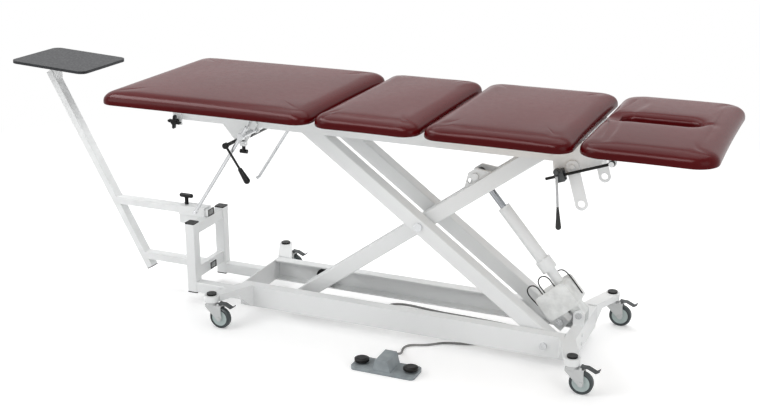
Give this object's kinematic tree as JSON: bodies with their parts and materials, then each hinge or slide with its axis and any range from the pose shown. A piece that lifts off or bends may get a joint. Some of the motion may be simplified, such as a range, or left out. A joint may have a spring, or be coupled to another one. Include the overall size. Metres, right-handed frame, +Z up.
{
  "type": "treatment table",
  "caption": "Scissor lift treatment table with separately padded leg, pelvis, chest and head sections, a traction carriage, braked casters, a sliding tray stand and a foot switch.",
  "frame": {"origin": "on the floor under the middle of the bounding box of the table with its foot switch, without the cable", "axes": "+X along the table towards the head section, +Y away from the side with the foot switch, +Z up"},
  "size_m": [2.517, 0.743, 0.8288],
  "materials": {
    "white_steel": "glossy white powder coat",
    "grey_plastic": "fine matt texture",
    "black_plastic": "satin moulded plastic",
    "bright_steel": "zinc plated",
    "chrome_rod": "ground and chrome plated",
    "pressed_steel": "light grey coat",
    "caster_rubber": "soft grey tread",
    "cable_jacket": "smooth grey jacket",
    "vinyl": "burgundy upholstery vinyl with a fine grain",
    "plywood": "plain plywood",
    "cover_plastic": "smooth white housing"
  },
  "bodies": {
    "base": {"base_rail_near": "white_steel", "base_rail_far": "white_steel", "base_cross_members": "white_steel", "caster_arms": "white_steel", "end_plugs": "black_plastic", "base_pins": "bright_steel", "stand_frame": "white_steel", "foot_switch_base": "grey_plastic", "foot_switch_cover": "grey_plastic", "foot_cable": "cable_jacket"},
    "foot_pad_up": {"foot_pad_up": "black_plastic"},
    "foot_pad_down": {"foot_pad_down": "black_plastic"},
    "outer_arms": {"outer_arm_near": "white_steel", "outer_arm_far": "white_steel", "mid_axle": "bright_steel"},
    "upper_rollers": {"upper_rollers": "black_plastic"},
    "inner_arms": {"inner_arm_near": "white_steel", "inner_arm_far": "white_steel", "rod_bracket": "white_steel"},
    "lower_rollers": {"lower_rollers": "black_plastic"},
    "actuator": {"actuator_tube": "white_steel", "motor_cover": "cover_plastic"},
    "actuator_rod": {"actuator_rod": "chrome_rod", "rod_end": "black_plastic"},
    "top_frame": {"top_rail_near": "white_steel", "top_rail_far": "white_steel", "top_cross_tubes": "white_steel", "top_axle": "bright_steel", "rail_brackets": "white_steel", "chest_board": "plywood", "chest_cushion": "vinyl", "lock_body": "grey_plastic"},
    "head_lever": {"head_lever": "black_plastic"},
    "belt_anchors": {"belt_anchors": "white_steel"},
    "leg_release": {"leg_release": "black_plastic"},
    "side_knob": {"side_knob": "black_plastic"},
    "star_knob": {"star_knob": "black_plastic"},
    "stays": {"stays": "bright_steel"},
    "carriage": {"carriage": "white_steel", "pelvis_cushion": "vinyl"},
    "leg_section": {"leg_frame": "white_steel", "leg_cushion": "vinyl"},
    "head_section": {"head_frame": "white_steel", "head_cushion": "vinyl"},
    "lock_rod": {"lock_rod": "black_plastic"},
    "post": {"post_frame": "white_steel", "tray": "grey_plastic"},
    "stand_knob": {"stand_knob": "black_plastic"},
    "caster_near_left": {"caster_fork_near_left": "pressed_steel"},
    "caster_near_left_wheel": {"caster_wheel_near_left": "caster_rubber"},
    "caster_near_left_pedal": {"caster_pedal_near_left": "grey_plastic"},
    "caster_far_left": {"caster_fork_far_left": "pressed_steel"},
    "caster_far_left_wheel": {"caster_wheel_far_left": "caster_rubber"},
    "caster_far_left_pedal": {"caster_pedal_far_left": "grey_plastic"},
    "caster_near_right": {"caster_fork_near_right": "pressed_steel"},
    "caster_near_right_wheel": {"caster_wheel_near_right": "caster_rubber"},
    "caster_near_right_pedal": {"caster_pedal_near_right": "grey_plastic"},
    "caster_far_right": {"caster_fork_far_right": "pressed_steel"},
    "caster_far_right_wheel": {"caster_wheel_far_right": "caster_rubber"},
    "caster_far_right_pedal": {"caster_pedal_far_right": "grey_plastic"}
  },
  "joints": [
    {"name": "lift", "type": "hinge", "parent": "base", "child": "outer_arms", "pos_m": [0.75352, 0.0285, 0.074], "axis": [0, 1, 0], "range_deg": [-19.1, 8.9]},
    {"name": "inner_arms_fold", "type": "hinge", "parent": "outer_arms", "child": "inner_arms", "pos_m": [0.30912, 0.0285, 0.39806], "axis": [0, 1, 0], "range_deg": [-17.8, 38.2]},
    {"name": "top_frame_level", "type": "hinge", "parent": "inner_arms", "child": "top_frame", "pos_m": [0.75352, 0.0285, 0.72212], "axis": [0, 1, 0], "range_deg": [-19.1, 8.9]},
    {"name": "upper_rollers_roll", "type": "hinge", "parent": "outer_arms", "child": "upper_rollers", "pos_m": [-0.13527, 0.0285, 0.72212], "axis": [0, 1, 0], "continuous": true},
    {"name": "lower_rollers_roll", "type": "hinge", "parent": "inner_arms", "child": "lower_rollers", "pos_m": [-0.13527, 0.0285, 0.074], "axis": [0, 1, 0], "continuous": true},
    {"name": "actuator_swing", "type": "hinge", "parent": "base", "child": "actuator", "pos_m": [0.83652, 0.0285, 0.147], "axis": [0, 1, 0], "range_deg": [-20.26, 9.44]},
    {"name": "actuator_stroke", "type": "slide", "parent": "actuator", "child": "actuator_rod", "axis": [-0.6468, 0, 0.7627], "range_m": [-0.1168, 0.0545]},
    {"name": "traction_slide", "type": "slide", "parent": "top_frame", "child": "carriage", "axis": [-1, 0, 0], "range_m": [0, 0.1]},
    {"name": "leg_section_tilt", "type": "hinge", "parent": "carriage", "child": "leg_section", "pos_m": [0.03052, 0.0285, 0.75212], "axis": [0, 1, 0], "range_deg": [0, 30]},
    {"name": "head_section_tilt", "type": "hinge", "parent": "top_frame", "child": "head_section", "pos_m": [0.85952, 0.0285, 0.75212], "axis": [0, 1, 0], "range_deg": [-25, 45]},
    {"name": "lock_rod_swing", "type": "hinge", "parent": "head_section", "child": "lock_rod", "pos_m": [0.93952, 0.0285, 0.70212], "axis": [0, 1, 0], "range_deg": [-29.71, 16.51]},
    {"name": "head_lever_pull", "type": "hinge", "parent": "top_frame", "child": "head_lever", "pos_m": [0.77952, 0.0285, 0.66412], "axis": [0, 1, 0], "range_deg": [-20, 0], "stiffness_Nm_per_rad": 1},
    {"name": "belt_anchors_swing", "type": "hinge", "parent": "top_frame", "child": "belt_anchors", "pos_m": [0.81952, 0.0285, 0.67512], "axis": [0, 1, 0], "range_deg": [-30, 6]},
    {"name": "leg_release_pull", "type": "hinge", "parent": "top_frame", "child": "leg_release", "pos_m": [-0.31448, 0.0285, 0.64012], "axis": [0, 1, 0], "range_deg": [-25, 0], "stiffness_Nm_per_rad": 2.5},
    {"name": "side_knob_turn", "type": "hinge", "parent": "top_frame", "child": "side_knob", "pos_m": [-0.29448, -0.1325, 0], "axis": [0, 0, 1], "continuous": true},
    {"name": "star_knob_turn", "type": "hinge", "parent": "top_frame", "child": "star_knob", "pos_m": [-0.55348, 0.0285, 0.68012], "axis": [0, 1, 0], "continuous": true},
    {"name": "stays_swing", "type": "hinge", "parent": "top_frame", "child": "stays", "pos_m": [-0.26648, 0.0285, 0.67112], "axis": [0, 1, 0], "range_deg": [-50, 0]},
    {"name": "tray_post_slide", "type": "slide", "parent": "base", "child": "post", "axis": [1, 0, 0], "range_m": [-0.02, 0.08]},
    {"name": "stand_knob_turn", "type": "hinge", "parent": "base", "child": "stand_knob", "pos_m": [-0.63148, 0.0285, 0], "axis": [0, 0, 1], "continuous": true},
    {"name": "foot_pad_up_press", "type": "slide", "parent": "base", "child": "foot_pad_up", "axis": [0, 0, -1], "range_m": [0, 0.004], "stiffness_N_per_m": 2500},
    {"name": "foot_pad_down_press", "type": "slide", "parent": "base", "child": "foot_pad_down", "axis": [0, 0, -1], "range_m": [0, 0.004], "stiffness_N_per_m": 2500},
    {"name": "caster_near_left_swivel", "type": "hinge", "parent": "base", "child": "caster_near_left", "pos_m": [-0.37568, -0.2472, 0], "axis": [0, 0, 1], "continuous": true},
    {"name": "caster_near_left_roll", "type": "hinge", "parent": "caster_near_left", "child": "caster_near_left_wheel", "pos_m": [-0.34408, -0.2472, 0.0375], "axis": [0, 1, 0], "continuous": true},
    {"name": "caster_near_left_brake", "type": "hinge", "parent": "caster_near_left", "child": "caster_near_left_pedal", "pos_m": [-0.34568, -0.2472, 0.088], "axis": [0, 1, 0], "range_deg": [0, 12]},
    {"name": "caster_far_left_swivel", "type": "hinge", "parent": "base", "child": "caster_far_left", "pos_m": [-0.37568, 0.3042, 0], "axis": [0, 0, 1], "continuous": true},
    {"name": "caster_far_left_roll", "type": "hinge", "parent": "caster_far_left", "child": "caster_far_left_wheel", "pos_m": [-0.34408, 0.3042, 0.0375], "axis": [0, 1, 0], "continuous": true},
    {"name": "caster_far_left_brake", "type": "hinge", "parent": "caster_far_left", "child": "caster_far_left_pedal", "pos_m": [-0.34568, 0.3042, 0.088], "axis": [0, 1, 0], "range_deg": [0, 12]},
    {"name": "caster_near_right_swivel", "type": "hinge", "parent": "base", "child": "caster_near_right", "pos_m": [0.87872, -0.2472, 0], "axis": [0, 0, 1], "continuous": true},
    {"name": "caster_near_right_roll", "type": "hinge", "parent": "caster_near_right", "child": "caster_near_right_wheel", "pos_m": [0.91032, -0.2472, 0.0375], "axis": [0, 1, 0], "continuous": true},
    {"name": "caster_near_right_brake", "type": "hinge", "parent": "caster_near_right", "child": "caster_near_right_pedal", "pos_m": [0.90872, -0.2472, 0.088], "axis": [0, 1, 0], "range_deg": [0, 12]},
    {"name": "caster_far_right_swivel", "type": "hinge", "parent": "base", "child": "caster_far_right", "pos_m": [0.87872, 0.3042, 0], "axis": [0, 0, 1], "continuous": true},
    {"name": "caster_far_right_roll", "type": "hinge", "parent": "caster_far_right", "child": "caster_far_right_wheel", "pos_m": [0.91032, 0.3042, 0.0375], "axis": [0, 1, 0], "continuous": true},
    {"name": "caster_far_right_brake", "type": "hinge", "parent": "caster_far_right", "child": "caster_far_right_pedal", "pos_m": [0.90872, 0.3042, 0.088], "axis": [0, 1, 0], "range_deg": [0, 12]}
  ],
  "couplings": [
    {"joint": "inner_arms_fold", "follows": "lift", "ratio": -2},
    {"joint": "top_frame_level", "follows": "lift", "ratio": 1},
    {"joint": "actuator_swing", "follows": "lift", "ratio": 1.06},
    {"joint": "actuator_stroke", "follows": "lift", "m_per_rad": 0.35},
    {"joint": "lock_rod_swing", "follows": "head_section_tilt", "ratio": -0.66}
  ]
}
